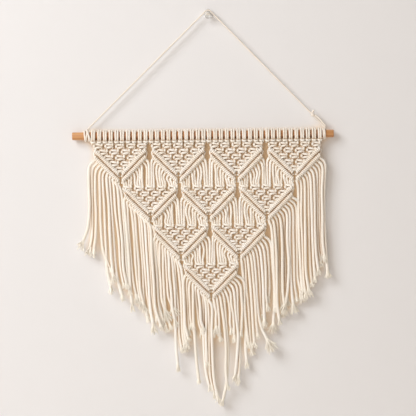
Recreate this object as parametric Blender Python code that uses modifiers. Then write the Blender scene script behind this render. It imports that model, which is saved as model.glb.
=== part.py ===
"""A macrame wall hanging of cotton string, knotted on a wooden dowel that hangs from a wall pin.

Metres, +Z up. The wall is the plane y = 0 and the hanging faces -Y. The origin is the middle of
the face where the pin's shank meets the wall. Depths are measured down from the dowel's axis.
"""

from math import cos, pi, radians, sin, sqrt, tan

import bmesh
import bpy
from mathutils import Matrix, Vector

# Driving dimensions.
GAP = 0.0003

DOWEL_LENGTH = 0.406
DOWEL_RADIUS = 0.006
DOWEL_CENTRE = Vector((-0.010, -0.0105, -0.1938))
DOWEL_CHAMFER = 0.0006

PANELS_IN_TOP_ROW = 4
HEADS_PER_PANEL = 10
HEAD_PITCH = 0.0090
PANEL_PITCH = HEADS_PER_PANEL * HEAD_PITCH
HEAD_RADIUS = 0.0101
HEAD_VALLEY = 0.0072
RIB_LAND = 0.32

FABRIC_X = -0.0044
LEAN = 0.0205
NET_Y = -0.0150
NET_THICKNESS = 0.0076

FIRST_ROW_DEPTH = 0.0180
ROW_PITCH = 0.0602
NET_HALF_WIDTH = 0.0385
NET_RISE = 0.0010
NET_SHOULDER_GAP = 0.0014

BAND_SLOPE = radians(44.5)
BAND_VERTEX = 0.0502
BAND_HALF_WIDTH = 0.0385
ROLL_WIDTH = 0.0066
ROLL_DEPTH = 0.0088
ROLL_WAIST = 0.0044

COMB_THICKNESS = 0.0036
COMB_SPINE = 0.0036
COMB_END_GAP = 0.0004
WINDOW_STRINGS = 20
WINDOW_TOOTH = 0.0025
WINDOW_MARGIN = 0.0013
FRINGE_STRINGS = 10
FRINGE_PITCH = 0.00435
FRINGE_TOOTH = 0.0028
FRINGE_INNER_END = 0.0022

# The depth of each fringe's string ends, from left to right.
FRINGE_ENDS = {
    "fringe_left_1": (0.163, 0.172, 0.176, 0.186, 0.198, 0.190, 0.205, 0.236, 0.245, 0.227),
    "fringe_left_2": (0.231, 0.246, 0.261, 0.257, 0.244, 0.279, 0.268, 0.292, 0.289, 0.298),
    "fringe_left_3": (0.285, 0.318, 0.355, 0.326, 0.306, 0.335, 0.313, 0.348, 0.322, 0.366),
    "fringe_left_4": (0.352, 0.378, 0.362, 0.388, 0.371, 0.396, 0.380, 0.402, 0.386, 0.394),
    "fringe_right_4": (0.403, 0.408, 0.390, 0.375, 0.368, 0.298, 0.369, 0.376, 0.355, 0.350),
    "fringe_right_3": (0.340, 0.323, 0.330, 0.316, 0.300, 0.315, 0.308, 0.278, 0.290, 0.277),
    "fringe_right_2": (0.262, 0.292, 0.275, 0.283, 0.270, 0.279, 0.256, 0.262, 0.260, 0.239),
    "fringe_right_1": (0.250, 0.245, 0.232, 0.237, 0.226, 0.219, 0.205, 0.194, 0.185, 0.210),
}

# How far the first and the last string of each fringe lean to the right over their length.
FRINGE_SWAY = {
    "fringe_left_1": (-0.009, 0.003),
    "fringe_left_2": (0.001, 0.005),
    "fringe_left_3": (0.003, 0.006),
    "fringe_left_4": (0.004, 0.008),
    "fringe_right_4": (0.008, 0.004),
    "fringe_right_3": (0.003, 0.0),
    "fringe_right_2": (0.0, 0.001),
    "fringe_right_1": (0.001, 0.002),
}

CORD_DIAMETER = 0.0028
TIE_RADIUS = DOWEL_RADIUS + GAP + CORD_DIAMETER
TIES = {"tie_left": (-0.1890, 3), "tie_right": (0.1787, 2)}

PIN_DROOP = radians(30)
PIN_SHANK = 0.0010
PIN_NECK = 0.0030
PIN_KNOB = 0.0059
CORD_SEAT_Y = -0.0096
CORD_BEND = 11
CORD_LEG_POINTS = 16


def material(name, colour, roughness):
    made = bpy.data.materials.new(name)
    made.use_nodes = True
    shader = made.node_tree.nodes["Principled BSDF"]
    shader.inputs["Base Color"].default_value = (*colour, 1)
    shader.inputs["Roughness"].default_value = roughness
    shader.inputs["Metallic"].default_value = 0
    return made


def add(name, data, finish, place=Matrix.Identity(4)):
    made = bpy.data.objects.new(name, data)
    made.matrix_world = place
    if not data.materials:
        data.materials.append(finish)
    collection.objects.link(made)
    return made


def turned(name, profile, steps, finish, place):
    """A profile of (radius, height) points, run down the outer side, turned about its own Z axis."""
    mesh = bpy.data.meshes.new(name)
    form = bmesh.new()
    points = [form.verts.new((radius, 0, height)) for radius, height in profile]
    closed = profile[0][0] > 0
    for first, second in zip(points, points[1:] + points[:1] if closed else points[1:]):
        form.edges.new((first, second))
    form.to_mesh(mesh)
    form.free()
    made = add(name, mesh, finish, place)
    screw = made.modifiers.new("Turn", "SCREW")
    screw.steps = screw.render_steps = steps
    screw.use_merge_vertices = True
    screw.merge_threshold = 0.00002
    return made


def outline(name, points, thickness):
    """A flat piece in the XZ plane, drawn by its (x, z) corners."""
    curve = bpy.data.curves.new(name, "CURVE")
    curve.dimensions = "2D"
    curve.fill_mode = "BOTH"
    curve.extrude = thickness / 2
    spline = curve.splines.new("POLY")
    spline.points.add(len(points) - 1)
    for point, (x, z) in zip(spline.points, points):
        point.co = (x, z, 0, 1)
    spline.use_cyclic_u = True
    return curve


def upright(x, y, z):
    """The place of a flat piece that stands in the XZ plane."""
    return Matrix.Translation((x, y, z)) @ Matrix.Rotation(pi / 2, 4, "X")


def row_depth(row):
    return FIRST_ROW_DEPTH + (row - 1) * ROW_PITCH


def panels_in(row):
    return PANELS_IN_TOP_ROW + 1 - row


def panel_x(row, column):
    """The centre line of a panel, with the fabric's slight lean."""
    across = (column - (panels_in(row) - 1) / 2) * PANEL_PITCH
    return FABRIC_X + across + LEAN * (row_depth(row) + BAND_VERTEX / 2)


def panel_place(row, column, y):
    return upright(panel_x(row, column), y, DOWEL_CENTRE.z - row_depth(row))


def band_depth(across, offset):
    """Depth, below a panel's top, of a line along its band: offset is measured square to the band."""
    return BAND_VERTEX + offset / cos(BAND_SLOPE) - abs(across) * tan(BAND_SLOPE)


def along_x(x):
    return Matrix.Translation((x, DOWEL_CENTRE.y, DOWEL_CENTRE.z)) @ Matrix.Rotation(pi / 2, 4, "Y")


# The dowel, with its edges broken.
def make_dowel():
    half = DOWEL_LENGTH / 2
    edge = DOWEL_RADIUS - DOWEL_CHAMFER
    profile = [
        (0, half),
        (edge, half),
        (DOWEL_RADIUS, half - DOWEL_CHAMFER),
        (DOWEL_RADIUS, -half + DOWEL_CHAMFER),
        (edge, -half),
        (0, -half),
    ]
    turned("dowel", profile, 32, wood, along_x(DOWEL_CENTRE.x))


# Rings of cord and rows of knots round the dowel: a sleeve with one rib for each turn.
def make_sleeve(name, x, ribs, pitch, valley, peak, steps, finish):
    half = ribs * pitch / 2 - GAP / 2
    bore = DOWEL_RADIUS + GAP
    ridge = pitch * RIB_LAND
    profile = []
    for rib in range(ribs):
        middle = (ribs - 1) / 2 * pitch - rib * pitch
        profile += [(peak, middle + ridge), (peak, middle - ridge)]
        if rib < ribs - 1:
            profile.append((valley, middle - pitch / 2))
    profile = [(valley, half)] + profile + [(valley, -half), (bore, -half), (bore, half)]
    turned(name, profile, steps, finish, along_x(x))


def make_headings():
    for column in range(PANELS_IN_TOP_ROW):
        across = (column - (PANELS_IN_TOP_ROW - 1) / 2) * PANEL_PITCH
        make_sleeve(
            f"heading_{column + 1}", FABRIC_X + across, HEADS_PER_PANEL, HEAD_PITCH,
            HEAD_VALLEY, HEAD_RADIUS, 14, cotton,
        )


# Triangles of alternating square knots: the top row of panels reaches up to the dowel.
def make_nets():
    side = band_depth(NET_HALF_WIDTH, -ROLL_WIDTH - GAP)
    tip = band_depth(0, -ROLL_WIDTH - GAP)
    top = HEAD_RADIUS + GAP - FIRST_ROW_DEPTH
    shoulder = PANEL_PITCH / 2 - NET_SHOULDER_GAP
    body = [(NET_HALF_WIDTH, -side), (0, -tip), (-NET_HALF_WIDTH, -side)]
    first = [(-shoulder, -top), (shoulder, -top)] + body
    other = [(-NET_HALF_WIDTH, NET_RISE), (NET_HALF_WIDTH, NET_RISE)] + body
    first_shape = outline("net_first", first, NET_THICKNESS)
    other_shape = outline("net_other", other, NET_THICKNESS)
    for row in range(1, PANELS_IN_TOP_ROW + 1):
        shape = first_shape if row == 1 else other_shape
        for column in range(panels_in(row)):
            add(f"net_{row}_{column + 1}", shape, cotton, panel_place(row, column, NET_Y))


# Bands of two rows of double half hitches: a two-lobed section run along the slope, mitred at the tip.
def band_section():
    front = []
    steps = 8
    for step in range(1, steps):
        offset = -ROLL_WIDTH + 2 * ROLL_WIDTH * step / steps
        lobe = 1 - ((abs(offset) - ROLL_WIDTH / 2) / (ROLL_WIDTH / 2)) ** 2
        front.append((offset, max(ROLL_DEPTH / 2 * sqrt(lobe), ROLL_WAIST / 2)))
    back = [(offset, -depth) for offset, depth in reversed(front)]
    return [(-ROLL_WIDTH, 0)] + front + [(ROLL_WIDTH, 0)] + back


def band_mesh(name, side):
    """One side of a panel, with the panel's top centre at the origin: side is -1 on the left."""
    along = Vector((-side * cos(BAND_SLOPE), 0, -sin(BAND_SLOPE)))
    square = Vector((side * -sin(BAND_SLOPE), 0, cos(BAND_SLOPE)))
    start = Vector((side * BAND_HALF_WIDTH, 0, -band_depth(BAND_HALF_WIDTH, 0)))
    reach = BAND_HALF_WIDTH / cos(BAND_SLOPE) + 2 * ROLL_WIDTH
    form = bmesh.new()
    ring = []
    for offset, depth in band_section():
        ring.append(form.verts.new(start + square * offset + Vector((0, depth, 0))))
    cap = form.faces.new(ring)
    swept = bmesh.ops.extrude_face_region(form, geom=[cap])
    moved = [item for item in swept["geom"] if isinstance(item, bmesh.types.BMVert)]
    bmesh.ops.translate(form, verts=moved, vec=along * reach)
    cut = bmesh.ops.bisect_plane(
        form, geom=form.verts[:] + form.edges[:] + form.faces[:], dist=1e-6,
        plane_co=(side * GAP, 0, 0), plane_no=(-side, 0, 0), clear_outer=True,
    )
    edges = [item for item in cut["geom_cut"] if isinstance(item, bmesh.types.BMEdge)]
    bmesh.ops.holes_fill(form, edges=edges)
    bmesh.ops.recalc_face_normals(form, faces=form.faces)
    mesh = bpy.data.meshes.new(name)
    form.to_mesh(mesh)
    form.free()
    return mesh


def make_bands():
    shapes = {"left": band_mesh("band_left", -1), "right": band_mesh("band_right", 1)}
    for row in range(1, PANELS_IN_TOP_ROW + 1):
        for column in range(panels_in(row)):
            place = Matrix.Translation((panel_x(row, column), NET_Y, DOWEL_CENTRE.z - row_depth(row)))
            for side, shape in shapes.items():
                add(f"hitch_{side}_{row}_{column + 1}", shape, cotton, place)


# Loose strings in the window under two bands: a comb whose spine follows both slopes.
def make_windows():
    half_pitch = PANEL_PITCH / 2
    lean = LEAN * ROW_PITCH / 2
    spacing = 2 * NET_HALF_WIDTH / WINDOW_STRINGS

    def roof(across):
        return band_depth(half_pitch - abs(across), ROLL_WIDTH + GAP) + WINDOW_MARGIN

    floor = ROW_PITCH - NET_RISE - GAP
    end = NET_HALF_WIDTH - COMB_END_GAP
    points = [(end, -roof(end)), (0, -roof(0)), (-end, -roof(end))]
    for string in range(WINDOW_STRINGS):
        middle = -NET_HALF_WIDTH + (string + 0.5) * spacing
        left = middle - WINDOW_TOOTH / 2
        right = middle + WINDOW_TOOTH / 2
        first = string == 0
        last = string == WINDOW_STRINGS - 1
        if not first:
            points.append((left, -roof(left) - COMB_SPINE))
        points += [(-end if first else left, -floor), (end if last else right, -floor)]
        if not last:
            points.append((right, -roof(right) - COMB_SPINE))
    shape = outline("window", points, COMB_THICKNESS)
    for row in range(1, PANELS_IN_TOP_ROW):
        for column in range(panels_in(row) - 1):
            x = panel_x(row, column) + half_pitch + lean / 2
            place = upright(x, NET_Y, DOWEL_CENTRE.z - row_depth(row))
            add(f"loose_{row}_{column + 1}", shape, cotton, place)


# Loose string ends under each outer band: a comb with ten teeth of their own lengths.
def make_fringes():
    for name, ends in FRINGE_ENDS.items():
        first_sway, last_sway = FRINGE_SWAY[name]
        side, row = name.split("_")[1:]
        row = int(row)
        left = side == "left"
        column = 0 if left else panels_in(row) - 1
        inner = FRINGE_INNER_END
        outer = BAND_HALF_WIDTH + ROLL_WIDTH * sin(BAND_SLOPE)
        spine = [(across, band_depth(across, ROLL_WIDTH + GAP)) for across in (inner, outer)]
        if left:
            points = [(-across, -depth) for across, depth in spine]
        else:
            points = [(across, -depth) for across, depth in reversed(spine)]
        for string, end in enumerate(ends):
            place = (FRINGE_STRINGS - string if left else string + 1) - 0.5
            across = (-1 if left else 1) * (place * FRINGE_PITCH + COMB_END_GAP)
            sway = first_sway + (last_sway - first_sway) * string / (FRINGE_STRINGS - 1)
            edges = (across - FRINGE_TOOTH / 2, across + FRINGE_TOOTH / 2)
            roots = [band_depth(edge, ROLL_WIDTH + GAP) + COMB_SPINE for edge in edges]
            drop = end - row_depth(row)
            points += [
                (edges[0], -roots[0]),
                (edges[0] + sway, -drop),
                (edges[1] + sway, -drop),
                (edges[1], -roots[1]),
            ]
        add(name, outline(name, points, COMB_THICKNESS), cotton, panel_place(row, column, NET_Y))


# The wall pin droops under its load, so the knob hangs a little lower than the neck that the cord lies on.
def make_pin():
    knob_start = 0.0135
    profile = [
        (0, 0.0185),
        (0.0034, 0.0184),
        (0.0050, 0.0176),
        (PIN_KNOB, 0.0160),
        (PIN_KNOB, 0.0148),
        (0.0050, knob_start),
        (PIN_NECK, 0.0118),
        (PIN_NECK, 0.0052),
        (0.0046, 0.0042),
        (0.0046, 0.0030),
        (PIN_SHANK, 0.0030),
        (PIN_SHANK, -0.0030),
        (0, -0.0030),
    ]
    place = Matrix.Rotation(pi / 2 + PIN_DROOP, 4, "X")
    pin = turned("wall_pin", profile, 24, clear, place)
    bpy.ops.mesh.primitive_cube_add(size=0.02, location=(0, 0.01, 0))
    wall = bpy.context.object
    wall.name = "wall_cutter"
    wall.hide_render = True
    wall.display_type = "WIRE"
    for home in wall.users_collection:
        home.objects.unlink(wall)
    cutters.objects.link(wall)
    flush = pin.modifiers.new("Flush", "BOOLEAN")
    flush.object = wall


# The hanger cord: two straight legs over the pin's neck, ending on a tie round the dowel at each side.
def cord_route():
    reach = (PIN_NECK + GAP + CORD_DIAMETER / 2) / cos(PIN_DROOP)
    neck = Vector((0, CORD_SEAT_Y, CORD_SEAT_Y * tan(PIN_DROOP)))
    rise = TIE_RADIUS + GAP + CORD_DIAMETER / 2
    left, right = (Vector((x, DOWEL_CENTRE.y, DOWEL_CENTRE.z + rise)) for x, turns in TIES.values())
    turns = [radians(CORD_BEND * step) for step in range(-4, 5)]
    bend = [neck + reach * Vector((sin(turn), 0, cos(turn))) for turn in turns]
    count = CORD_LEG_POINTS
    up = [left.lerp(bend[0], step / count) for step in range(count)]
    down = [bend[-1].lerp(right, step / count) for step in range(1, count + 1)]
    return up + bend + down


def make_hanger():
    for name, (x, turns) in TIES.items():
        make_sleeve(name, x, turns, CORD_DIAMETER, TIE_RADIUS - CORD_DIAMETER / 3, TIE_RADIUS, 16, cord)
    curve = bpy.data.curves.new("hanger_cord", "CURVE")
    curve.dimensions = "3D"
    curve.bevel_depth = CORD_DIAMETER / 2
    curve.bevel_resolution = 2
    curve.use_fill_caps = True
    route = cord_route()
    spline = curve.splines.new("POLY")
    spline.points.add(len(route) - 1)
    for point, place in zip(spline.points, route):
        point.co = (*place, 1)
    add("hanger_cord", curve, cord)


for old in list(bpy.data.objects):
    bpy.data.objects.remove(old, do_unlink=True)
collection = bpy.data.collections.new("macrame_wall_hanging")
cutters = bpy.data.collections.new("cutters")
bpy.context.scene.collection.children.link(collection)
bpy.context.scene.collection.children.link(cutters)

cotton = material("cotton_string", (0.86, 0.79, 0.68), 0.9)
cord = material("hanger_cotton", (0.86, 0.81, 0.72), 0.85)
wood = material("dowel_wood", (0.64, 0.35, 0.15), 0.5)
clear = material("pin_plastic", (0.88, 0.87, 0.84), 0.3)

make_dowel()
make_headings()
make_nets()
make_bands()
make_windows()
make_fringes()
make_pin()
make_hanger()
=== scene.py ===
from math import ceil, cos, pi, radians, sin, tan
from random import Random

import bmesh
import bpy
import numpy as np
from mathutils import Matrix, Vector


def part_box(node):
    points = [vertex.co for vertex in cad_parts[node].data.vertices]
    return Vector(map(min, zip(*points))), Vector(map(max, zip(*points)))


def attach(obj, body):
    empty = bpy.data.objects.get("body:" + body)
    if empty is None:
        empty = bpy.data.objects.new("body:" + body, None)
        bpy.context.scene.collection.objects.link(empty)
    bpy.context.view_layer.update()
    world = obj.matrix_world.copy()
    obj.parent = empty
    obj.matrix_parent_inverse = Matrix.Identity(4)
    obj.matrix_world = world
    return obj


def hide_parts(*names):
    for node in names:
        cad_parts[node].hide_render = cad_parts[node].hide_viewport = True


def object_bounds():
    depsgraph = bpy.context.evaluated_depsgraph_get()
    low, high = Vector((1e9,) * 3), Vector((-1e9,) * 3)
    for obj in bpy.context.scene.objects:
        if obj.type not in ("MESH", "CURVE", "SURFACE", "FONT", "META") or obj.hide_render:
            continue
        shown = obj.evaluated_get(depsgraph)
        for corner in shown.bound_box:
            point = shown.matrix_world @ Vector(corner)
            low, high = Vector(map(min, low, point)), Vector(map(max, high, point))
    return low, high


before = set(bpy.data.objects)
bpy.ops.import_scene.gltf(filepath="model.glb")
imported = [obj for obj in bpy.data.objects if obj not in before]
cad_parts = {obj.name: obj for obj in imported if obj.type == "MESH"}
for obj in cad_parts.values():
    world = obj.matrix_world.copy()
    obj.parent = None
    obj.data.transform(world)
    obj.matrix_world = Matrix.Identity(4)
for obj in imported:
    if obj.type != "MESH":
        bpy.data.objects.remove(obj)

cad_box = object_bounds()

# ---- Camera -----------------------------------------------------------------------------------
# A long lens looks square at the wall, level with the middle of the hanging. It is rolled by
# less than a degree, so that the dowel sits slightly off level.
VIEW_WIDTH = 0.6452
VIEW_DISTANCE = 2.8
VIEW_CENTRE = (-0.0034, -0.3075)
VIEW_ROLL = radians(0.66)
SENSOR = 36
KNOTS_FORWARD = 0.015

camera = bpy.data.objects.new("Camera", bpy.data.cameras.new("Camera"))
camera.data.sensor_width = SENSOR
camera.data.lens = SENSOR * VIEW_DISTANCE / VIEW_WIDTH
camera.location = (VIEW_CENTRE[0], -VIEW_DISTANCE - KNOTS_FORWARD, VIEW_CENTRE[1])
camera.rotation_euler = (pi / 2, VIEW_ROLL, 0)
bpy.context.scene.collection.objects.link(camera)
bpy.context.scene.camera = camera

# ---- Cotton string ----------------------------------------------------------------------------
# Soft single-twist cotton string: each knot is laid out as the run of a string, and each run
# becomes a round tube whose fibres wind along it. Painted shade makes crevices darker and warmer.
STRING = 0.0020
COTTON_LIGHT = (0.92, 0.905, 0.875, 1)
COTTON_DEEP = (0.82, 0.73, 0.59, 1)
CREVICE_PAINTED_SHADE = (0.50, 0.29, 0.11, 1)
PAINTED_SHADE_REACH = 0.005
FIBRES_ROUND = 9
TWIST_PER_METRE = 420
FIBRE_RELIEF = 0.00025


def tube_tree():
    """Turns each spline into a capped tube, with its winding angle and length kept for the fibres."""
    tree = bpy.data.node_groups.new("string_tube", "GeometryNodeTree")
    tree.interface.new_socket("Runs", in_out="INPUT", socket_type="NodeSocketGeometry")
    sides = tree.interface.new_socket("Sides", in_out="INPUT", socket_type="NodeSocketInt")
    sides.default_value = 8
    tree.interface.new_socket("Tubes", in_out="OUTPUT", socket_type="NodeSocketGeometry")
    new = tree.nodes.new
    link = tree.links.new
    given = new("NodeGroupInput")
    made = new("NodeGroupOutput")

    length = new("GeometryNodeSplineParameter")
    keep_length = new("GeometryNodeStoreNamedAttribute")
    keep_length.inputs["Name"].default_value = "along"
    link(given.outputs["Runs"], keep_length.inputs["Geometry"])
    link(length.outputs["Length"], keep_length.inputs["Value"])

    shade = new("FunctionNodeRandomValue")
    keep_shade = new("GeometryNodeStoreNamedAttribute")
    keep_shade.domain = "CURVE"
    keep_shade.inputs["Name"].default_value = "tone"
    link(keep_length.outputs["Geometry"], keep_shade.inputs["Geometry"])
    link(shade.outputs[1], keep_shade.inputs["Value"])

    ring = new("GeometryNodeCurvePrimitiveCircle")
    ring.inputs["Radius"].default_value = 1
    link(given.outputs["Sides"], ring.inputs["Resolution"])
    place = new("GeometryNodeInputPosition")
    keep_turn = new("GeometryNodeStoreNamedAttribute")
    keep_turn.data_type = "FLOAT_VECTOR"
    keep_turn.inputs["Name"].default_value = "turn"
    link(ring.outputs["Curve"], keep_turn.inputs["Geometry"])
    link(place.outputs["Position"], keep_turn.inputs["Value"])

    thickness = new("GeometryNodeInputRadius")
    sweep = new("GeometryNodeCurveToMesh")
    sweep.inputs["Fill Caps"].default_value = True
    link(keep_shade.outputs["Geometry"], sweep.inputs["Curve"])
    link(keep_turn.outputs["Geometry"], sweep.inputs["Profile Curve"])
    link(thickness.outputs["Radius"], sweep.inputs["Scale"])
    link(sweep.outputs["Mesh"], made.inputs["Tubes"])
    return tree


string_tube = tube_tree()


def smooth_run(stations, spacing):
    """A Catmull-Rom curve through (x, y, z, radius) stations, with a point about every spacing."""
    given = np.array(stations, float)
    padded = np.vstack([2 * given[0] - given[1], given, 2 * given[-1] - given[-2]])
    points = []
    for index in range(1, len(padded) - 2):
        before, start, end, after = padded[index - 1:index + 3]
        steps = max(1, ceil(np.linalg.norm(end[:3] - start[:3]) / spacing))
        for step in range(steps):
            share = step / steps
            points.append(
                0.5 * (
                    2 * start
                    + (end - before) * share
                    + (2 * before - 5 * start + 4 * end - after) * share ** 2
                    + (3 * start - before - 3 * end + after) * share ** 3
                )
            )
    points.append(given[-1])
    return np.array(points)


def strings(name, runs, finish, sides=8):
    """One mesh of tubes: a run is an array of (x, y, z, radius) points in metres."""
    curve = bpy.data.curves.new(name, "CURVE")
    curve.dimensions = "3D"
    for run in runs:
        spline = curve.splines.new("POLY")
        spline.points.add(len(run) - 1)
        places = np.ones((len(run), 4))
        places[:, :3] = run[:, :3]
        spline.points.foreach_set("co", places.ravel())
        spline.points.foreach_set("radius", run[:, 3].copy())
    guide = bpy.data.objects.new(name, curve)
    bpy.context.scene.collection.objects.link(guide)
    tubes = guide.modifiers.new("Tubes", "NODES")
    tubes.node_group = string_tube
    tubes["Socket_1"] = sides
    bpy.context.view_layer.update()
    graph = bpy.context.evaluated_depsgraph_get()
    mesh = bpy.data.meshes.new_from_object(guide.evaluated_get(graph))
    bpy.data.objects.remove(guide, do_unlink=True)
    mesh.name = name
    mesh.materials.clear()
    mesh.materials.append(finish)
    piece = bpy.data.objects.new(name, mesh)
    bpy.context.scene.collection.objects.link(piece)
    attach(piece, "root")
    return piece


def node_group(name, inputs, outputs):
    """An empty shader node group with its named sockets."""
    tree = bpy.data.node_groups.new(name, "ShaderNodeTree")
    for label, kind, value in inputs:
        socket = tree.interface.new_socket(label, in_out="INPUT", socket_type=kind)
        socket.default_value = value
    for label, kind in outputs:
        tree.interface.new_socket(label, in_out="OUTPUT", socket_type=kind)
    return tree


def fibre_group():
    """Colour and height of twisted fibres: ridges round the string, soft blotches, and painted shade in
    grooves and crevices.
    """
    tree = node_group(
        "twisted_fibres",
        [
            ("Light", "NodeSocketColor", COTTON_LIGHT),
            ("Deep", "NodeSocketColor", COTTON_DEEP),
            ("Ridges", "NodeSocketFloat", FIBRES_ROUND),
            ("Twist", "NodeSocketFloat", TWIST_PER_METRE),
            ("Painted Shade", "NodeSocketFloat", 1.0),
        ],
        [("Color", "NodeSocketColor"), ("Height", "NodeSocketFloat")],
    )
    new = tree.nodes.new
    link = tree.links.new
    given = new("NodeGroupInput")
    made = new("NodeGroupOutput")

    def math(operation, first, second=None):
        node = new("ShaderNodeMath")
        node.operation = operation
        for socket, value in zip(node.inputs, (first, second)):
            if value is None:
                continue
            if isinstance(value, (int, float)):
                socket.default_value = value
            else:
                link(value, socket)
        return node.outputs[0]

    def attribute(label):
        node = new("ShaderNodeAttribute")
        node.attribute_name = label
        return node

    turn = new("ShaderNodeSeparateXYZ")
    link(attribute("turn").outputs["Vector"], turn.inputs[0])
    angle = math("ARCTAN2", turn.outputs["Y"], turn.outputs["X"])
    along = attribute("along").outputs["Fac"]
    tone = attribute("tone").outputs["Fac"]

    place = new("ShaderNodeTexCoord")
    drift = new("ShaderNodeTexNoise")
    drift.inputs["Scale"].default_value = 260
    drift.inputs["Detail"].default_value = 3
    link(place.outputs["Object"], drift.inputs["Vector"])
    wander = math("MULTIPLY", drift.outputs["Fac"], 5.0)
    phase = math("ADD", math("MULTIPLY", angle, given.outputs["Ridges"]), wander)
    phase = math("ADD", phase, math("MULTIPLY", along, math("MULTIPLY", given.outputs["Twist"], 9.0)))
    ridge = math("ADD", math("MULTIPLY", math("SINE", phase), 0.5), 0.5)

    blotch = new("ShaderNodeTexNoise")
    blotch.inputs["Scale"].default_value = 45
    blotch.inputs["Detail"].default_value = 2
    link(place.outputs["Object"], blotch.inputs["Vector"])
    fuzz = new("ShaderNodeTexNoise")
    fuzz.inputs["Scale"].default_value = 2600
    fuzz.inputs["Detail"].default_value = 2
    link(place.outputs["Object"], fuzz.inputs["Vector"])

    depth = math("ADD", math("MULTIPLY", blotch.outputs["Fac"], 0.45), math("MULTIPLY", tone, 0.35))
    # Painted shade: the grooves between the twist's ridges are coloured a little darker.
    depth = math("ADD", depth, math("MULTIPLY", ridge, -0.22))
    mix = new("ShaderNodeMix")
    mix.data_type = "RGBA"
    link(math("MINIMUM", math("MAXIMUM", depth, 0.0), 1.0), mix.inputs["Factor"])
    link(given.outputs["Light"], mix.inputs["A"])
    link(given.outputs["Deep"], mix.inputs["B"])
    # Painted shade: an ambient-occlusion mask darkens and warms the colour in crevices.
    shade_ao = new("ShaderNodeAmbientOcclusion")
    shade_ao.samples = 6
    shade_ao.only_local = True
    shade_ao.inputs["Distance"].default_value = PAINTED_SHADE_REACH
    hidden = math("SUBTRACT", 1.0, shade_ao.outputs["AO"])
    open_share = math("SUBTRACT", 1.0, math("MULTIPLY", hidden, given.outputs["Painted Shade"]))
    painted_shade = new("ShaderNodeMix")
    painted_shade.data_type = "RGBA"
    link(open_share, painted_shade.inputs["Factor"])
    painted_shade.inputs["A"].default_value = CREVICE_PAINTED_SHADE
    link(mix.outputs["Result"], painted_shade.inputs["B"])
    link(painted_shade.outputs["Result"], made.inputs["Color"])
    height = math("ADD", math("MULTIPLY", ridge, 0.75), math("MULTIPLY", fuzz.outputs["Fac"], 0.6))
    link(height, made.inputs["Height"])
    return tree


twisted_fibres = fibre_group()


def cotton(name, light, deep, ridges, twist, painted_shade, strength):
    """A cotton finish: painted_shade is how far crevices are painted darker, and strength is that of the
    fibres' relief.
    """
    finish = bpy.data.materials.new(name)
    finish.use_nodes = True
    nodes = finish.node_tree.nodes
    link = finish.node_tree.links.new
    shader = nodes["Principled BSDF"]
    shader.inputs["Roughness"].default_value = 0.92
    shader.inputs["Specular IOR Level"].default_value = 0.18
    shader.inputs["Sheen Weight"].default_value = 0.2
    shader.inputs["Sheen Roughness"].default_value = 0.45
    shader.inputs["Sheen Tint"].default_value = (1.0, 0.99, 0.96, 1)
    fibres = nodes.new("ShaderNodeGroup")
    fibres.node_tree = twisted_fibres
    fibres.inputs["Light"].default_value = light
    fibres.inputs["Deep"].default_value = deep
    fibres.inputs["Ridges"].default_value = ridges
    fibres.inputs["Twist"].default_value = twist
    fibres.inputs["Painted Shade"].default_value = painted_shade
    bump = nodes.new("ShaderNodeBump")
    bump.inputs["Strength"].default_value = strength
    bump.inputs["Distance"].default_value = FIBRE_RELIEF
    link(fibres.outputs["Color"], shader.inputs["Base Color"])
    link(fibres.outputs["Height"], bump.inputs["Height"])
    link(bump.outputs["Normal"], shader.inputs["Normal"])
    return finish


cotton_string = cotton(
    "cotton_string", COTTON_LIGHT, COTTON_DEEP,
    ridges=FIBRES_ROUND, twist=TWIST_PER_METRE, painted_shade=1.1, strength=0.6,
)

# ---- Hanger cord ------------------------------------------------------------------------------
# A thinner three-ply cotton cord, pulled straight by the weight: it is wound round the dowel at
# the left, goes over the pin, and is wound and knotted off at the right with a short free end.
CORD = 0.0014
CORD_BEND = 11
CORD_SEAT_Y = -0.0096
PIN_DROOP = radians(30)
PIN_NECK = 0.0030
CLEARANCE = 0.0003
PLY_RADIUS = 0.00076
PLY_OFFSET = 0.00066
PLY_LAY = 0.0085
PLY_SPACING = 0.0011
TIE_SPACING = 0.0012
LEG_STEPS = 16
HANGER_LIGHT = (0.94, 0.91, 0.87, 1)
HANGER_DEEP = (0.78, 0.68, 0.57, 1)

dowel_low, dowel_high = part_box("dowel")
dowel_middle = (dowel_low + dowel_high) / 2
dowel_radius = (dowel_high.z - dowel_low.z) / 2
tie_boxes = {side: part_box(f"tie_{side}") for side in ("left", "right")}


def cord_route():
    """The cord's centre line: up the left leg, round the pin's neck and down the right leg."""
    reach = (PIN_NECK + CLEARANCE + CORD) / cos(PIN_DROOP)
    neck = Vector((0, CORD_SEAT_Y, CORD_SEAT_Y * tan(PIN_DROOP)))
    feet = []
    for low, high in tie_boxes.values():
        feet.append(Vector(((low.x + high.x) / 2, dowel_middle.y, high.z + CLEARANCE + CORD)))
    turns = [radians(CORD_BEND * step) for step in range(-4, 5)]
    bend = [neck + reach * Vector((sin(turn), 0, cos(turn))) for turn in turns]
    up = [feet[0].lerp(bend[0], step / LEG_STEPS) for step in range(LEG_STEPS)]
    down = [bend[-1].lerp(feet[1], step / LEG_STEPS) for step in range(1, LEG_STEPS + 1)]
    return up + bend + down


def plies(route, count, offset, radius, lay):
    """The plies of a laid cord: helices of one lay length round a route."""
    line = smooth_run([(*point, 0) for point in route], PLY_SPACING)[:, :3]
    steps = np.linalg.norm(np.diff(line, axis=0), axis=1)
    walked = np.concatenate([[0], np.cumsum(steps)])
    ahead = np.gradient(line, axis=0)
    ahead /= np.linalg.norm(ahead, axis=1)[:, None]
    side = np.cross(ahead, (0.13, 1.0, 0.07))
    side /= np.linalg.norm(side, axis=1)[:, None]
    over = np.cross(side, ahead)
    runs = []
    for ply in range(count):
        turn = (walked / lay + ply / count) * 2 * pi
        places = line + offset * (np.cos(turn)[:, None] * side + np.sin(turn)[:, None] * over)
        runs.append(np.column_stack([places, np.full(len(places), radius)]))
    return runs


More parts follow.
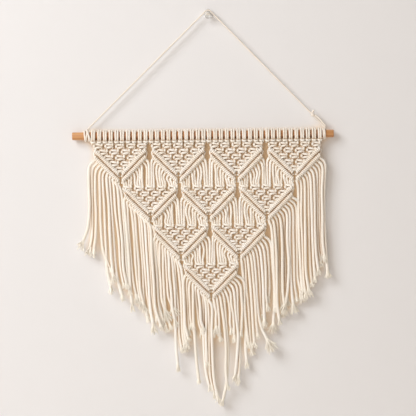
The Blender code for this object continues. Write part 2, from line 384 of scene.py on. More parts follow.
hanger_cotton = cotton(
    "hanger_cotton", HANGER_LIGHT, HANGER_DEEP, ridges=5, twist=500, painted_shade=0.45, strength=0.5
)
route = cord_route()
three_plies = plies(route, 3, PLY_OFFSET, PLY_RADIUS, PLY_LAY)
hanger = strings("hanger_cord_twisted", three_plies, hanger_cotton, 7)
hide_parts("hanger_cord")

# Ties: the cord's ends wound round the dowel. The left one crosses over itself in front, and the
# right one comes back up its leg to a small knot with a short free end.
TIE_STEPS = 14
TIE_GAP = 0.0001
TIE_KNOT_UP = 0.026
TIE_KNOT_STEPS = 18
TIE_KNOT_TURNS = 2
TIE_KNOT_REACH = 0.0021
TIE_KNOT_LENGTH = 0.0030
TIE_KNOT_SPACING = 0.001


def round_dowel(x_of, turns, radius, offset, start):
    """Stations round the dowel: angle 0 is in front and 90 degrees is on top."""
    stations = []
    count = int(turns * TIE_STEPS) + 1
    reach = dowel_radius + offset
    for step in range(count):
        share = step / (count - 1)
        angle = start + share * turns * 2 * pi
        y = dowel_middle.y - reach * cos(angle)
        z = dowel_middle.z + reach * sin(angle)
        stations.append((x_of(share), y, z, radius))
    return stations


def lead_in(foot, inward):
    """The cord's last stretch before the dowel; inward is the side of the hanging's middle."""
    return [(foot.x + inward * 0.004, foot.y, foot.z + 0.004, CORD), (foot.x, foot.y, foot.z - 0.001, CORD)]


def tie_left():
    """Three turns that spread along the dowel, and one turn that crosses over them."""
    low, high = tie_boxes["left"]
    half_width = (high.x - low.x) / 2
    middle = (low.x + high.x) / 2
    spread = 0.86 * half_width
    crossing = 0.8 * half_width
    wound = round_dowel(
        lambda share: middle - 0.0012 - spread * cos(2 * pi * share), 3, CORD, CORD + TIE_GAP, pi / 2
    )
    over = round_dowel(
        lambda share: middle + 0.0022 + crossing * cos(2 * pi * share), 1, CORD, 2.6 * CORD, -pi / 2
    )
    return [smooth_run(lead_in(Vector(route[0]), 1) + wound, TIE_SPACING), smooth_run(over, TIE_SPACING)]


def tie_right():
    """Two turns, then back up beside the leg to a small knot round it, and the free end."""
    low, high = tie_boxes["right"]
    foot = Vector(route[-1])
    leg = (Vector(route[-3]) - foot).normalized()
    square = Vector((leg.z, 0, -leg.x))
    front = Vector((0, -1, 0))
    middle = (low.x + high.x) / 2
    wound = round_dowel(
        lambda share: middle + 0.0018 - 0.0040 * share, 2, CORD, CORD + TIE_GAP, pi / 2
    )
    knot = foot + leg * TIE_KNOT_UP
    back = [
        (*(foot + square * 0.0026 + Vector((0, 0, -0.001))), CORD),
        (*(foot + leg * 0.012 + square * 0.0031), CORD),
        (*(knot - leg * 0.003 + square * 0.0026), CORD),
    ]
    turns = []
    for step in range(TIE_KNOT_STEPS + 1):
        share = step / TIE_KNOT_STEPS
        angle = share * TIE_KNOT_TURNS * 2 * pi
        around = square * cos(angle) + front * sin(angle)
        spot = knot + leg * (TIE_KNOT_LENGTH * (share - 0.5)) + TIE_KNOT_REACH * around
        turns.append((*spot, CORD * 0.8))
    tail = [
        (*knot, CORD),
        (*(knot + square * 0.003 + leg * 0.003), CORD),
        (*(knot + square * 0.0065 + leg * 0.0035), CORD * 1.15),
    ]
    return [
        smooth_run(lead_in(foot, -1) + wound, TIE_SPACING),
        smooth_run(back, TIE_SPACING),
        smooth_run(turns, TIE_KNOT_SPACING),
        smooth_run(tail, TIE_KNOT_SPACING),
    ]


for side, made in (("left", tie_left()), ("right", tie_right())):
    tie = strings(f"tie_{side}_wound", made, hanger_cotton, 9)
    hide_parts(f"tie_{side}")

# ---- Wall pin ---------------------------------------------------------------------------------
# A small moulded pin of clear plastic, pushed into the wall. The weight makes it droop, so its
# knob hangs in front of the wall a little below the cord. The profile is (radius, height).
PIN_PROFILE = [
    (0, 0.0185), (0.0020, 0.0185), (0.0040, 0.0181), (0.0053, 0.0172), (0.0059, 0.0158),
    (0.0058, 0.0148), (0.0050, 0.0137), (0.0038, 0.0129), (0.0031, 0.0118), (0.0029, 0.0090),
    (0.0030, 0.0062), (0.0036, 0.0048), (0.0045, 0.0044), (0.0047, 0.0038), (0.0045, 0.0031),
    (0.0012, 0.0030), (0.0010, 0.0026), (0.0010, -0.0004), (0, -0.0004),
]
PIN_STEPS = 40


def spun(name, profile, steps, place, finish):
    """A (radius, height) profile spun about its Z axis, then put in its place."""
    form = bmesh.new()
    points = [form.verts.new((radius, 0, height)) for radius, height in profile]
    edges = [form.edges.new(pair) for pair in zip(points, points[1:])]
    bmesh.ops.spin(
        form, geom=points + edges, cent=(0, 0, 0), axis=(0, 0, 1), angle=2 * pi, steps=steps, use_merge=True
    )
    bmesh.ops.remove_doubles(form, verts=form.verts, dist=1e-6)
    bmesh.ops.transform(form, matrix=place, verts=form.verts)
    bmesh.ops.recalc_face_normals(form, faces=form.faces)
    for face in form.faces:
        face.smooth = True
    mesh = bpy.data.meshes.new(name)
    form.to_mesh(mesh)
    form.free()
    mesh.set_sharp_from_angle(angle=radians(40))
    mesh.materials.append(finish)
    piece = bpy.data.objects.new(name, mesh)
    bpy.context.scene.collection.objects.link(piece)
    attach(piece, "root")
    return piece


pin_plastic = bpy.data.materials.new("pin_plastic")
pin_plastic.use_nodes = True
pin_shader = pin_plastic.node_tree.nodes["Principled BSDF"]
pin_shader.inputs["Base Color"].default_value = (0.93, 0.93, 0.92, 1)
pin_shader.inputs["Roughness"].default_value = 0.18
pin_shader.inputs["IOR"].default_value = 1.49
pin_shader.inputs["Transmission Weight"].default_value = 0.6
pin_turn = Matrix.Rotation(pi / 2 + PIN_DROOP, 4, "X")
pin = spun("wall_pin_turned", PIN_PROFILE, PIN_STEPS, pin_turn, pin_plastic)
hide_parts("wall_pin")

# ---- Dowel ------------------------------------------------------------------------------------
# A bare round wooden stick, sawn to length with its edges just broken. The grain runs along it,
# and painted shade darkens the wood where strings sit close to it.
WOOD_LIGHT = (0.64, 0.34, 0.145, 1)
WOOD_DARK = (0.46, 0.20, 0.07, 1)
WOOD_PAINTED_SHADE = (0.44, 0.16, 0.045, 1)
WOOD_PAINTED_SHADE_REACH = 0.006
GRAIN_STRETCH = (7, 260, 260)
EDGE = 0.0007
EDGE_STEP = 0.0002
DOWEL_STEPS = 56

half_dowel = (dowel_high.x - dowel_low.x) / 2
dowel_profile = [
    (0, half_dowel),
    (dowel_radius - EDGE, half_dowel),
    (dowel_radius - EDGE_STEP, half_dowel - EDGE_STEP),
    (dowel_radius, half_dowel - EDGE),
    (dowel_radius, 0),
    (dowel_radius, EDGE - half_dowel),
    (dowel_radius - EDGE_STEP, EDGE_STEP - half_dowel),
    (dowel_radius - EDGE, -half_dowel),
    (0, -half_dowel),
]
wood = bpy.data.materials.new("wood")
wood.use_nodes = True
nodes = wood.node_tree.nodes
link = wood.node_tree.links.new
place = nodes.new("ShaderNodeTexCoord")
stretch = nodes.new("ShaderNodeMapping")
stretch.inputs["Location"].default_value = (0, -dowel_middle.y, -dowel_middle.z)
stretch.inputs["Scale"].default_value = GRAIN_STRETCH
grain = nodes.new("ShaderNodeTexNoise")
grain.inputs["Scale"].default_value = 1.3
grain.inputs["Detail"].default_value = 5
grain.inputs["Distortion"].default_value = 0.4
colour = nodes.new("ShaderNodeValToRGB")
colour.color_ramp.elements[0].position = 0.32
colour.color_ramp.elements[0].color = WOOD_DARK
colour.color_ramp.elements[1].position = 0.62
colour.color_ramp.elements[1].color = WOOD_LIGHT
relief = nodes.new("ShaderNodeBump")
relief.inputs["Strength"].default_value = 0.25
relief.inputs["Distance"].default_value = 0.0002
shader = nodes["Principled BSDF"]
shader.inputs["Roughness"].default_value = 0.52
link(place.outputs["Object"], stretch.inputs["Vector"])
link(stretch.outputs["Vector"], grain.inputs["Vector"])
link(grain.outputs["Fac"], colour.inputs["Fac"])
# Painted shade: ambient occlusion darkens the wood between and under the strings.
shade_ao = nodes.new("ShaderNodeAmbientOcclusion")
shade_ao.samples = 6
shade_ao.inputs["Distance"].default_value = WOOD_PAINTED_SHADE_REACH
shaded_wood = nodes.new("ShaderNodeMix")
shaded_wood.data_type = "RGBA"
shaded_wood.inputs["A"].default_value = WOOD_PAINTED_SHADE
link(shade_ao.outputs["AO"], shaded_wood.inputs["Factor"])
link(colour.outputs["Color"], shaded_wood.inputs["B"])
link(shaded_wood.outputs["Result"], shader.inputs["Base Color"])
link(grain.outputs["Fac"], relief.inputs["Height"])
link(relief.outputs["Normal"], shader.inputs["Normal"])
dowel = spun(
    "dowel_grained", dowel_profile, DOWEL_STEPS,
    Matrix.Translation(dowel_middle) @ Matrix.Rotation(pi / 2, 4, "Y"), wood,
)
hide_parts("dowel")

# ---- Lark's head knots ------------------------------------------------------------------------
# Forty doubled cotton strings hang on the dowel. The fold of each goes over the top, under the
# dowel and across the front as a short bar, and both ends come down behind that bar.
HEADINGS = 4
HEADS = 10
HEAD_PITCH = 0.0090
HEAD_STRING = 0.00157
BAR_DROP = 0.0104
HEAD_SLACK = 0.00025
HEAD_PLAY = 0.0004
HEAD_SPACING = 0.0016


def lark_head(x, rng):
    """The run of one doubled string. Half of it is given by (across, back, up, thickness)."""
    def half(side):
        slack = rng.uniform(-HEAD_SLACK, HEAD_SLACK)
        spots = [
            (0.0, -0.0104, -BAR_DROP, 1.05),
            (0.0017, -0.0102, -BAR_DROP + 0.0001, 1.05),
            (0.0028, -0.0083, -BAR_DROP + 0.0007, 1.0),
            (0.0027, -0.0052, -0.0089, 1.0),
            (0.0024, -0.0018, -0.0080, 1.05),
            (0.0022, 0.0030, -0.0073, 1.05),
            (0.0021, 0.0066, -0.0041, 1.1),
            (0.0021, 0.0079, 0.0, 1.1),
            (0.0020, 0.0057, 0.0055, 1.1),
            (0.0018, 0.0, 0.0079, 1.1),
            (0.0017, -0.0057, 0.0055, 1.1),
            (0.0016, -0.0079, 0.0, 1.1),
            (0.0015, -0.0081, -0.0042, 1.08),
            (0.0015, -0.0074, -0.0082, 1.0),
            (0.0017, -0.0060, -BAR_DROP - 0.0006, 1.0),
            (0.0021, -0.0056, -BAR_DROP - 0.0030, 1.0),
        ]
        return [
            (x + side * spot_x + slack, dowel_middle.y + y, dowel_middle.z + z, HEAD_STRING * size)
            for spot_x, y, z, size in spots
        ]

    right = half(1)
    left = half(-1)
    return smooth_run(left[::-1] + right[1:], HEAD_SPACING)


for number in range(1, HEADINGS + 1):
    rng = Random(40 + number)
    low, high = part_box(f"heading_{number}")
    middle = (low.x + high.x) / 2
    runs = []
    for head in range(HEADS):
        x = middle + (head - (HEADS - 1) / 2) * HEAD_PITCH + rng.uniform(-HEAD_PLAY, HEAD_PLAY)
        runs.append(lark_head(x, rng))
    piece = strings(f"heading_{number}_knots", runs, cotton_string)
    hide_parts(f"heading_{number}")

# ---- Panels of square knots -------------------------------------------------------------------
# Inverted triangles of alternating square knots, five knots along the top and one at the point.
# Each knot is tied with four strings: two straight ones inside and two that cross over them.
ROWS = 4
STRINGS = 20
HALF = STRINGS // 2
KNOTS = 5
KNOT_PITCH = 0.0176
KNOT_STEP = 0.0083
FIRST_KNOT = 0.0041
TOP_KNOT = -0.0018
TOP_STEP = 0.0092
KNOT_STRING = 0.00202

# Knots are pulled narrower than their runs are laid out. The knots next to the dowel are narrower
# still and closer together, and the whole first row of panels has taller knots.
KNOT_WIDTH = 0.91
KNOT_WIDTH_FIRST = 0.84
TOP_STRETCH = 1.06
TOP_CLOSER = 0.965
KNOT_PLAY = 0.0004
HEAD_END = 0.0019
NET_SPACING = 0.0017

# The rolls of a panel's two bands meet this far below its top, and its slab's lower corner lies
# above that by the thickness of the band.
BAND_VERTEX = 0.0502
SLAB_BAND = 0.0069
SLAB_SLOPE = radians(44.5)
NET_TIP = BAND_VERTEX - SLAB_BAND / cos(SLAB_SLOPE)


class Panel:
    """Where one triangle hangs: its centre line, its middle plane and its top edge."""

    def __init__(self, row, column):
        low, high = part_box(f"net_{row}_{column}")
        self.row = row
        self.column = column
        self.x = (low.x + high.x) / 2
        self.y = (low.y + high.y) / 2
        self.z = low.z + NET_TIP

    def at(self, across, forward, down):
        """A point across from its centre line, forward of its plane and down from its top."""
        return (self.x + across, self.y - forward, self.z - down)


def panels_in(row):
    return ROWS + 1 - row


panels = {
    (row, column): Panel(row, column)
    for row in range(1, ROWS + 1)
    for column in range(1, panels_in(row) + 1)
}

# The four runs of one knot, from its middle: (across, forward, down) in millimetres.
OVER_STRING = [
    (-5.4, 0.2, -3.9), (-6.2, 0.9, -3.2), (-4.0, 2.6, -2.5), (0.0, 3.9, -2.1), (4.0, 2.8, -1.7),
    (6.3, 0.4, -0.9), (6.4, 0.2, 0.4), (4.0, 2.7, 1.4), (0.0, 3.9, 2.0), (-4.0, 2.9, 2.5),
    (-6.2, 0.8, 3.1), (-5.4, 0.2, 3.9),
]
UNDER_STRING = [
    (5.4, 0.6, -3.9), (6.4, 3.3, -3.0), (6.2, 3.5, -1.4), (4.0, -1.2, -1.0), (0.0, -2.9, -1.0),
    (-4.3, -1.4, -1.3), (-6.5, 1.8, -1.2), (-6.9, 4.2, 0.2), (-6.4, 2.6, 1.4), (-4.0, -1.2, 1.7),
    (0.0, -2.9, 1.6), (4.3, -1.4, 1.8), (6.5, 1.6, 2.4), (6.3, 1.4, 3.2), (5.4, 0.6, 3.9),
]
LEFT_CORE = [(-1.8, 0.2, -3.9), (-1.6, 0.3, 0.0), (-1.8, 0.2, 3.9)]
RIGHT_CORE = [(1.8, 0.2, -3.9), (1.6, 0.3, 0.0), (1.8, 0.2, 3.9)]
KNOT_RUNS = [OVER_STRING, LEFT_CORE, RIGHT_CORE, UNDER_STRING]

# Each side of a panel ends in a band of two rolls, and the panel's strings go into it.
SLOPE = radians(46)
BAND_REACH = 0.0393
ROLL = 0.0071
UPPER_ROLL = ROLL / 2
LOWER_ROLL = -ROLL / 2
BAND_TOP = BAND_VERTEX - BAND_REACH * tan(SLOPE)
SLIT = 0.0030
HITCHES = 9


def on_band(panel, side, along, off, forward):
    """A point along a band from its outer end, off it square to the slope, and forward."""
    across = side * (BAND_REACH - cos(SLOPE) * along - sin(SLOPE) * off)
    return panel.at(across, forward, BAND_TOP + sin(SLOPE) * along - cos(SLOPE) * off)


def roll_start(off):
    """Both rolls start at the same distance from the centre line, so a band's outer end is upright."""
    return -tan(SLOPE) * off


def roll_length(off):
    """A roll stops beside the upright slit at the panel's point."""
    return (BAND_REACH - sin(SLOPE) * off - SLIT) / cos(SLOPE)


def slot_along(slot, off):
    """Where one string's hitch sits along a roll."""
    return roll_start(off) + (slot + 0.5) * (roll_length(off) - roll_start(off)) / HITCHES


def net_knots(panel, rng):
    """Each knot's place across and down, its tilt, its size and how far forward it sits."""
    top = panel.row == 1
    knots = {}
    for level in range(KNOTS):
        closer = TOP_CLOSER if top and level == 0 else 1
        for knot in range(KNOTS - level):
            across = (knot - (KNOTS - 1 - level) / 2) * KNOT_PITCH * closer
            down = TOP_KNOT + level * TOP_STEP if top else FIRST_KNOT + level * KNOT_STEP
            knots[level, knot] = (
                across + rng.uniform(-KNOT_PLAY, KNOT_PLAY),
                down + rng.uniform(-KNOT_PLAY, KNOT_PLAY),
                rng.uniform(-0.06, 0.06),
                rng.uniform(0.95, 1.04),
                rng.uniform(-KNOT_PLAY, KNOT_PLAY),
            )
    return knots


def net_runs(panel):
    """The twenty strings of a net: each goes through its knots, then turns into the band below."""
    top = panel.row == 1
    knots = net_knots(panel, Random(100 * panel.row + panel.column))
    runs = []
    for string in range(STRINGS):
        stations = []
        if top:
            head, leg = divmod(string, 2)
            x = (head - (HEADS - 1) / 2) * HEAD_PITCH + (HEAD_END if leg else -HEAD_END)
            stations.append((*panel.at(x, 0.0025, -0.0076), HEAD_STRING * 0.9))
        for level in range(KNOTS):
            if not 2 * level <= string <= STRINGS - 1 - 2 * level:
                break
            knot, role = divmod(string - 2 * level, 4)
            across, down, tilt, size, lift = knots[level, knot]
            stretch = size * (TOP_STRETCH if top else 1)
            width = KNOT_WIDTH_FIRST if top and level == 0 else KNOT_WIDTH
            for right, forward, low in KNOT_RUNS[role]:
                right, low = right * width * 0.001 * size, low * 0.001 * stretch
                spot = panel.at(
                    across + right * cos(tilt) - low * sin(tilt),
                    forward * 0.001 + lift,
                    down + low * cos(tilt) + right * sin(tilt),
                )
                stations.append((*spot, KNOT_STRING * (1 if role in (0, 3) else 0.95)))
        side = -1 if string < HALF else 1
        order = min(string, STRINGS - 1 - string)
        if order == 0:
            start = roll_start(UPPER_ROLL)
            above = on_band(panel, side, start + 0.0010, UPPER_ROLL + 0.0030, 0.0)
            inside = on_band(panel, side, start + 0.0040, UPPER_ROLL, 0.0)
        else:
            along = slot_along(order - 1, UPPER_ROLL) - 0.001
            above = on_band(panel, side, along, UPPER_ROLL + 0.0040, -0.0008)
            inside = on_band(panel, side, along, UPPER_ROLL + 0.0005, -0.0024)
        stations += [(*above, KNOT_STRING), (*inside, KNOT_STRING * 0.9)]
        runs.append(smooth_run(stations, NET_SPACING))
    return runs


for spot, panel in panels.items():
    piece = strings(f"net_{spot[0]}_{spot[1]}_knots", net_runs(panel), cotton_string)
    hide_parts(f"net_{spot[0]}_{spot[1]}")

# ---- Hitched bands ----------------------------------------------------------------------------
# Two rows of diagonal double half hitches edge each triangle. A string laid along the slope is
# the core, and nine strings in turn are wound twice round it, which gives eighteen ribs a row.
HITCH_STRING = 0.00178
HITCH_REACH = 0.0022
HITCH_DEPTH = 0.0036
HITCH_FORWARD = 0.0022
HITCH_TURNS = 2.25
STEPS_ROUND = 12
BAND_SPACING = 0.0016
CORE_SPACING = 0.004

# Within this distance of a roll's ends the turns lean over, so that both ends stand upright.
TIP_REACH = 0.010


def hitch(panel, side, slot, off, rng):
    """Two turns round the core, starting behind it and leaving under it."""
    length = (roll_length(off) - roll_start(off)) / HITCHES
    along = slot_along(slot, off)
    swell = rng.uniform(0.96, 1.05)
    stations = []
    for step in range(int(HITCH_TURNS * STEPS_ROUND) + 1):
        angle = 1.5 * pi - step / STEPS_ROUND * 2 * pi
        here = along + length / 2 * ((pi / 2 - angle) / (2 * pi) - 0.5)
        from_end = min(roll_length(off) - here, here - roll_start(off))
        upright = min(1, max(0, 1 - from_end / TIP_REACH))
        out = HITCH_REACH * swell * cos(angle) * (1 - 0.2 * upright)
        spot = on_band(
            panel, side,
            here - out * tan(SLOPE) * upright,
            off + out,
            HITCH_FORWARD + HITCH_DEPTH * swell * sin(angle),
        )
        stations.append((*spot, HITCH_STRING * swell))
    return stations


def core(panel, side, off, stops):
    """A straight core inside a roll."""
    return [(*on_band(panel, side, along, off, 0), HITCH_STRING * 0.9) for along in stops]


def band_runs(panel, side):
    """A string is hitched on the first roll, then one place further out on the second roll."""
    rng = Random(1000 * panel.row + 10 * panel.column + side)
    upper = [hitch(panel, side, slot, UPPER_ROLL, rng) for slot in range(HITCHES)]
    lower = [hitch(panel, side, slot, LOWER_ROLL, rng) for slot in range(HITCHES)]
    runs = []
    for slot in range(1, HITCHES):
        runs.append(smooth_run(upper[slot] + lower[slot - 1], BAND_SPACING))
    first_core = core(panel, side, UPPER_ROLL, (0.002, 0.01, 0.03, roll_length(UPPER_ROLL) - 0.001))
    runs.append(smooth_run(first_core, CORE_SPACING))
    runs.append(smooth_run(lower[-1], BAND_SPACING))
    turn = [
        (*on_band(panel, side, -0.0020, 0.0006, -0.0010), HITCH_STRING),
        (*on_band(panel, side, 0.0004, -0.0016, 0.0), HITCH_STRING),
        (*on_band(panel, side, roll_start(LOWER_ROLL) + 0.0010, LOWER_ROLL, 0.0), HITCH_STRING),
    ]
    second_core = core(panel, side, LOWER_ROLL, (0.010, 0.03, roll_length(LOWER_ROLL) - 0.002))
    runs.append(smooth_run(upper[0] + turn + second_core, BAND_SPACING))
    return runs


for spot, panel in panels.items():
    for side, label in ((-1, "left"), (1, "right")):
        piece = strings(f"hitch_{label}_{spot[0]}_{spot[1]}_wound", band_runs(panel, side), cotton_string)
        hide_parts(f"hitch_{label}_{spot[0]}_{spot[1]}")

# ---- Loose strings in the windows -------------------------------------------------------------
# Between three triangles twenty strings hang free: they leave the two bands above square to
# the slope, bend down, and gather into the top knots of the triangle below.
WINDOW_SPACING = 0.0022
INTO_KNOT = (-0.0054, -0.0018, 0.0018, 0.0054)

# A string swells by this much where nothing pulls it tight.
WINDOW_SWELL = 1.08


def outlet(panel, side, order, shift, reach):
    """Where a string leaves a band, and its next point: order 9 is the core, at the tip."""
    if order == HITCHES:
        root = Vector(on_band(panel, side, roll_length(LOWER_ROLL) + 0.0004, LOWER_ROLL, 0.0))
        return root, root + Vector((side * 0.0012, -0.0006, -0.0060))
    along = slot_along(order, LOWER_ROLL)
    root = Vector(on_band(panel, side, along, LOWER_ROLL, 0.0))
    return root, Vector(on_band(panel, side, along + shift, LOWER_ROLL - reach, 0.0010))


def window_runs(row, column):
    """Twenty strings from the two bands above to the five knots below; long ones sway a little."""
    rng = Random(500 + 10 * row + column)
    below = panels[row + 1, column]
    runs = []
    for string in range(STRINGS):
        left = string < HALF
        panel = panels[row, column if left else column + 1]
        side = 1 if left else -1
        order = HALF - 1 - string if left else string - HALF
        outer = order < 2
        knot, role = divmod(string, 4)
        across = (knot - 2) * KNOT_PITCH + INTO_KNOT[role]
        goal = Vector(below.at(across, 0.0002, FIRST_KNOT - 0.0040))
        root, leave = outlet(panel, side, order, 0.0004, 0.0040 if order == 0 else 0.0056)
        lean = 1.0 if outer else 0.6
        gather = Vector((leave.x + (goal.x - leave.x) * lean, goal.y - 0.0004, goal.z + 0.0052))
        drop = leave.z - gather.z
        stations = [(*root, STRING * 0.8)]
        if drop > 0.002:
            stations.append((*leave, STRING * 0.97))
        else:
            turn = root.lerp(goal, 0.45) + Vector((side * 0.0016, -0.0012, 0))
            stations.append((*turn, STRING * 0.97))
        if drop > 0.008:
            bulge = min(drop, 0.03) * rng.uniform(0.0, 0.12) * side
            middle = leave.lerp(gather, 0.45) + Vector((bulge, -rng.uniform(-0.0010, 0.0016), 0))
            if outer:
                middle = Vector((leave.x + (gather.x - leave.x) * 0.85, middle.y, leave.z - 0.007))
            middle.x += rng.uniform(-0.0011, 0.0011)
            stations.append((*middle, STRING))
        if drop > 0.004:
            stations.append((*gather, STRING * 0.97))
        under = goal + Vector((0, 0, -0.0025))
        stations += [(*goal, KNOT_STRING), (*under, KNOT_STRING * 0.95)]
        run = smooth_run(stations, WINDOW_SPACING)
        run[:, 3] *= WINDOW_SWELL
        runs.append(run)
    return runs


for row in range(1, ROWS):
    for column in range(1, panels_in(row)):
        piece = strings(f"loose_{row}_{column}_strings", window_runs(row, column), cotton_string)
        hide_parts(f"loose_{row}_{column}")

# ---- Fringe -----------------------------------------------------------------------------------
# Ten string ends hang from each outer band. They were cut by eye, so each has its own length and
# lean, and every cut end has opened into a small brush of fibres.
FRINGE_SWELL = 1.2
FRINGE_SPACING = 0.0032
BRUSH_FIBRES = 28
BRUSH_PLAIN = 0.0045
FIBRE = 0.00062
FRAY_LIGHT = (0.98, 0.95, 0.88, 1)
FRAY_DEEP = (0.94, 0.88, 0.77, 1)

# Each string is given by four lengths in millimetres: how far across it hangs below its band, half
# way down and at its end, all from the pin, and how deep it ends below the dowel's axis.
FALLS = {
    ("left", 1): (
        (-187, -187, -197, 161), (-182, -183, -187, 172), (-177, -177, -181, 175), (-171, -170, -157, 203),
        (-166, -163, -156, 234), (-160, -156, -152, 213), (-155, -150, -139, 245), (-149, -142, -136, 228),
        (-143, -137, -131, 229), (-138, -133, -127, 240),
    ),
    ("left", 2): (
        (-133, -127, -123, 260), (-128, -124, -117, 246), (-122, -117, -110, 257), (-117, -112, -105, 262),
        (-111, -106, -100, 279), (-107, -102, -96, 268), (-102, -97, -91, 291), (-97, -93, -86, 280),
        (-93, -89, -80, 291), (-88, -84, -76, 284),
    ),
    ("left", 3): (
        (-88, -84, -77, 292), (-83, -80, -71, 298), (-79, -78, -73, 268), (-74, -73, -66, 290),
        (-70, -68, -62, 262), (-65, -62, -57, 285), (-60, -56, -53, 356), (-56, -51, -47, 330),
        (-51, -46, -43, 326), (-46, -42, -37, 312),
    ),
    ("left", 4): (
        (-43, -42, -40, 318), (-38, -37, -35, 303), (-34, -33, -31, 292), (-28, -26, -21, 378),
        (-24, -21, -17, 300), (-19, -17, -14, 296), (-13, -12, -5, 388), (-9, -9, -8, 352),
        (-5, -4, 2, 397), (1, 1, 8, 405),
    ),
    ("right", 4): (
        (6, 7, 7, 296), (10, 12, 13, 312), (15, 22, 23, 386), (20, 25, 17, 409),
        (25, 29, 30, 300), (30, 34, 35, 310), (35, 41, 36, 371), (40, 43, 41, 377),
        (45, 48, 46, 305), (51, 53, 54, 352),
    ),
    ("right", 3): (
        (49, 52, 57, 322), (54, 58, 62, 334), (58, 63, 66, 322), (63, 68, 71, 308),
        (67, 71, 85, 316), (72, 76, 79, 279), (77, 81, 82, 285), (82, 85, 86, 262),
        (87, 90, 89, 252), (93, 98, 96, 293),
    ),
    ("right", 2): (
        (95, 98, 100, 270), (99, 102, 105, 287), (104, 107, 110, 278), (109, 111, 113, 262),
        (114, 115, 118, 255), (119, 121, 115, 262), (123, 123, 127, 262), (128, 129, 132, 252),
        (133, 134, 138, 243), (138, 139, 141, 250),
    ),
    ("right", 1): (
        (137, 138, 142, 240), (142, 143, 146, 247), (147, 147, 151, 240), (152, 153, 156, 231),
        (156, 158, 161, 221), (161, 162, 166, 208), (166, 166, 170, 198), (171, 170, 173, 190),
        (175, 174, 176, 187), (179, 177, 181, 213),
    ),
}

# Ends that have come wide open, by fringe and place: how wide and how long their brush is.
WIDE_BRUSHES = {
    ("left", 1, 0): (0.007, 0.016), ("left", 1, 1): (0.006, 0.014), ("left", 1, 5): (0.006, 0.016),
    ("left", 2, 1): (0.006, 0.016), ("left", 2, 6): (0.006, 0.018), ("left", 3, 2): (0.009, 0.022),
    ("left", 3, 4): (0.008, 0.020), ("left", 3, 8): (0.006, 0.012), ("left", 4, 0): (0.006, 0.014),
    ("left", 4, 4): (0.006, 0.016), ("right", 4, 0): (0.006, 0.018), ("right", 4, 6): (0.005, 0.014),
    ("right", 3, 4): (0.010, 0.024), ("right", 3, 9): (0.009, 0.016), ("right", 3, 6): (0.006, 0.016),
    ("right", 2, 5): (0.008, 0.018), ("right", 2, 6): (0.007, 0.017), ("right", 2, 9): (0.006, 0.014),
    ("right", 1, 2): (0.006, 0.014), ("right", 1, 9): (0.005, 0.012),
}


def fringe_string(panel, side, order, fall, rng):
    """One string: square out of its band, round a bend, then down to its end with a little sway."""
    below_x, half_x, end_x, end_down = (value * 0.001 for value in fall)
    root, leave = outlet(panel, side, order, 0.0006, 0.0050)
    layer = rng.uniform(-0.0022, 0.0056)
    back = panel.y + layer
    bend = Vector((below_x, panel.y - 0.0006 + layer * 0.5, leave.z - 0.0105))
    end = Vector((end_x, back + rng.uniform(-0.001, 0.001), dowel_middle.z - end_down))
    half = Vector((half_x, back, bend.z + (end.z - bend.z) * 0.55))
    upper = bend.lerp(half, 0.5)
    upper += Vector((rng.uniform(-0.0012, 0.0012), rng.uniform(-0.0004, 0.0010), 0))
    lower = half.lerp(end, 0.62)
    lower += Vector(((half_x - end_x) * 0.30 + rng.uniform(-0.0009, 0.0009), 0, 0))
    stations = [(*root, STRING * 0.8), (*leave, STRING * 0.97), (*bend, STRING)]
    for spot in (upper, half, lower):
        stations.append((*spot, STRING * rng.uniform(0.95, 1.04)))
    stations.append((*end, STRING * 1.08))
    run = smooth_run(stations, FRINGE_SPACING)
    run[:, 3] *= FRINGE_SWELL
    run[:, 1] = np.minimum(run[:, 1], -run[:, 3] - 0.0002)
    return run


def brush(run, rng, wide, long):
    """Fibres that open out of a cut end."""
    end = Vector(run[-1][:3])
    before = Vector(run[-3][:3])
    down = (end - before).normalized()
    side = down.cross(Vector((0, 1, 0))).normalized()
    out = side.cross(down)
    fibres = []
    for _ in range(round(BRUSH_FIBRES * max(1, wide / BRUSH_PLAIN))):
        turn = rng.uniform(0, 2 * pi)
        reach = rng.uniform(0.0, 1.0) ** 0.5
        away = side * cos(turn) + out * sin(turn)
        length = long * rng.uniform(0.55, 1.1)
        spread = wide * reach * rng.uniform(0.7, 1.2)
        curl = side * rng.uniform(-1, 1) * 0.0008 + out * rng.uniform(-1, 1) * 0.0006
        start = end - down * 0.003 + away * STRING * 0.75 * reach
        spots = []
        for share in (0.0, 0.3, 0.6, 1.0):
            fall = length * share + 0.003 * min(1, share * 3)
            spot = start + down * fall + away * spread * share ** 1.6
            spot += curl * share ** 2
            spot.y = min(spot.y, -2 * FIBRE)
            spots.append((*spot, FIBRE * (1 - 0.45 * share)))
        fibres.append(smooth_run(spots, length / 4))
    return fibres


fray_cotton = cotton(
    "fray_cotton", FRAY_LIGHT, FRAY_DEEP, ridges=3, twist=300, painted_shade=0.1, strength=0.2
)
for (label, row), falls in FALLS.items():
    side = -1 if label == "left" else 1
    panel = panels[row, 1 if side < 0 else panels_in(row)]
    rng = Random(700 + 10 * row + side)
    runs = []
    tufts = []
    for place, fall in enumerate(falls):
        order = place if side < 0 else HALF - 1 - place
        run = fringe_string(panel, side, order, fall, rng)
        runs.append(run)
        wide, long = rng.uniform(0.0018, 0.0050), rng.uniform(0.007, 0.014)
        wide, long = WIDE_BRUSHES.get((label, row, place), (wide, long))
        tufts += brush(run, rng, wide, long)
    piece = strings(f"fringe_{label}_{row}_strings", runs, cotton_string)
    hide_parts(f"fringe_{label}_{row}")
    piece = strings(f"fringe_{label}_{row}_frays", tufts, fray_cotton, 4)

# ---- Wall, floor and light --------------------------------------------------------------------
# A white wall just behind the hanging, a pale floor well below it, and soft daylight from the
# upper left. Close to the cotton the wall is painted warm, as bounce light and shade. It shows only
# from the front and casts no shadow, so that the back of the knots can be seen.
WALL_PAINT = (0.745, 0.74, 0.75, 1)
WALL_PAINTED_BOUNCE = (0.89, 0.68, 0.45, 1)
WALL_PAINTED_BOUNCE_REACH = 0.04
WALL_GAP = 0.0004
FLOOR_PAINT = (0.80, 0.77, 0.73, 1)
FLOOR_DROP = 0.22


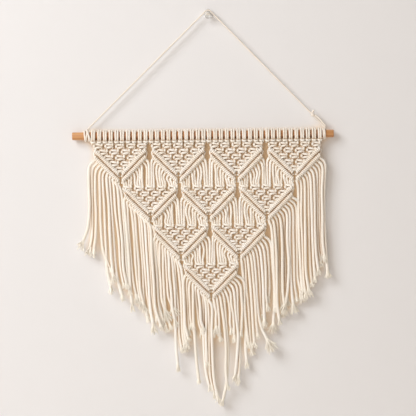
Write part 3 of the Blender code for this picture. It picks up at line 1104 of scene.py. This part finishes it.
def plane(name, middle, right, up, finish):
    """A flat sheet of the setting, given by its middle and half of each side."""
    form = bmesh.new()
    bmesh.ops.create_grid(form, x_segments=1, y_segments=1, size=1)
    for corner in form.verts:
        corner.co = Vector(middle) + Vector(right) * corner.co.x + Vector(up) * corner.co.y
    mesh = bpy.data.meshes.new(name)
    form.to_mesh(mesh)
    form.free()
    mesh.materials.append(finish)
    piece = bpy.data.objects.new(name, mesh)
    bpy.context.scene.collection.objects.link(piece)
    return piece


wall_paint = bpy.data.materials.new("wall_paint")
wall_paint.use_nodes = True
nodes = wall_paint.node_tree.nodes
link = wall_paint.node_tree.links.new
shader = nodes["Principled BSDF"]
shader.inputs["Roughness"].default_value = 0.95
# Painted bounce light and shade: ambient occlusion tints the wall warm near the cotton.
bounce = nodes.new("ShaderNodeAmbientOcclusion")
bounce.inputs["Distance"].default_value = WALL_PAINTED_BOUNCE_REACH
closeness = nodes.new("ShaderNodeMapRange")
closeness.inputs["From Min"].default_value = 0.22
closeness.inputs["From Max"].default_value = 0.62
painted_bounce = nodes.new("ShaderNodeMix")
painted_bounce.data_type = "RGBA"
painted_bounce.inputs["A"].default_value = WALL_PAINTED_BOUNCE
painted_bounce.inputs["B"].default_value = WALL_PAINT
link(bounce.outputs["AO"], closeness.inputs["Value"])
link(closeness.outputs["Result"], painted_bounce.inputs["Factor"])
link(painted_bounce.outputs["Result"], shader.inputs["Base Color"])
facing = nodes.new("ShaderNodeNewGeometry")
through = nodes.new("ShaderNodeBsdfTransparent")
either = nodes.new("ShaderNodeMixShader")
link(facing.outputs["Backfacing"], either.inputs["Fac"])
link(shader.outputs["BSDF"], either.inputs[1])
link(through.outputs["BSDF"], either.inputs[2])
link(either.outputs["Shader"], nodes["Material Output"].inputs["Surface"])
floor_paint = bpy.data.materials.new("floor_paint")
floor_paint.use_nodes = True
floor_shader = floor_paint.node_tree.nodes["Principled BSDF"]
floor_shader.inputs["Base Color"].default_value = FLOOR_PAINT
floor_shader.inputs["Roughness"].default_value = 0.9

wall = plane("wall", (0, WALL_GAP, -0.2), (0.9, 0, 0), (0, 0, 0.62), wall_paint)
wall.visible_shadow = False
plane("floor", (0, 0, cad_box[0].z - FLOOR_DROP), (3, 0, 0), (0, 3, 0), floor_paint)


def softbox(name, place, target, size, power, tint):
    """A square soft light turned towards its target."""
    light = bpy.data.lights.new(name, "AREA")
    light.shape = "SQUARE"
    light.size = size
    light.energy = power
    light.color = tint
    lamp = bpy.data.objects.new(name, light)
    lamp.location = place
    lamp.rotation_euler = (Vector(target) - Vector(place)).to_track_quat("-Z", "Y").to_euler()
    bpy.context.scene.collection.objects.link(lamp)


softbox("window_light", (-1.7, -1.95, 1.05), (0, 0, -0.25), 1.7, 67, (0.95, 0.97, 0.99))
softbox("room_light", (-0.5, -2.9, -0.25), (0, 0, -0.25), 1.0, 17, (1.0, 0.87, 0.74))
softbox("back_light", (0.8, 2.2, 1.0), (0, 0, -0.3), 1.5, 30, (1.0, 0.97, 0.94))
world = bpy.data.worlds.new("room")
world.use_nodes = True
world.node_tree.nodes["Background"].inputs["Color"].default_value = (1.0, 0.86, 0.72, 1)
world.node_tree.nodes["Background"].inputs["Strength"].default_value = 0.24
bpy.context.scene.world = world
bpy.context.scene.view_settings.view_transform = "Standard"
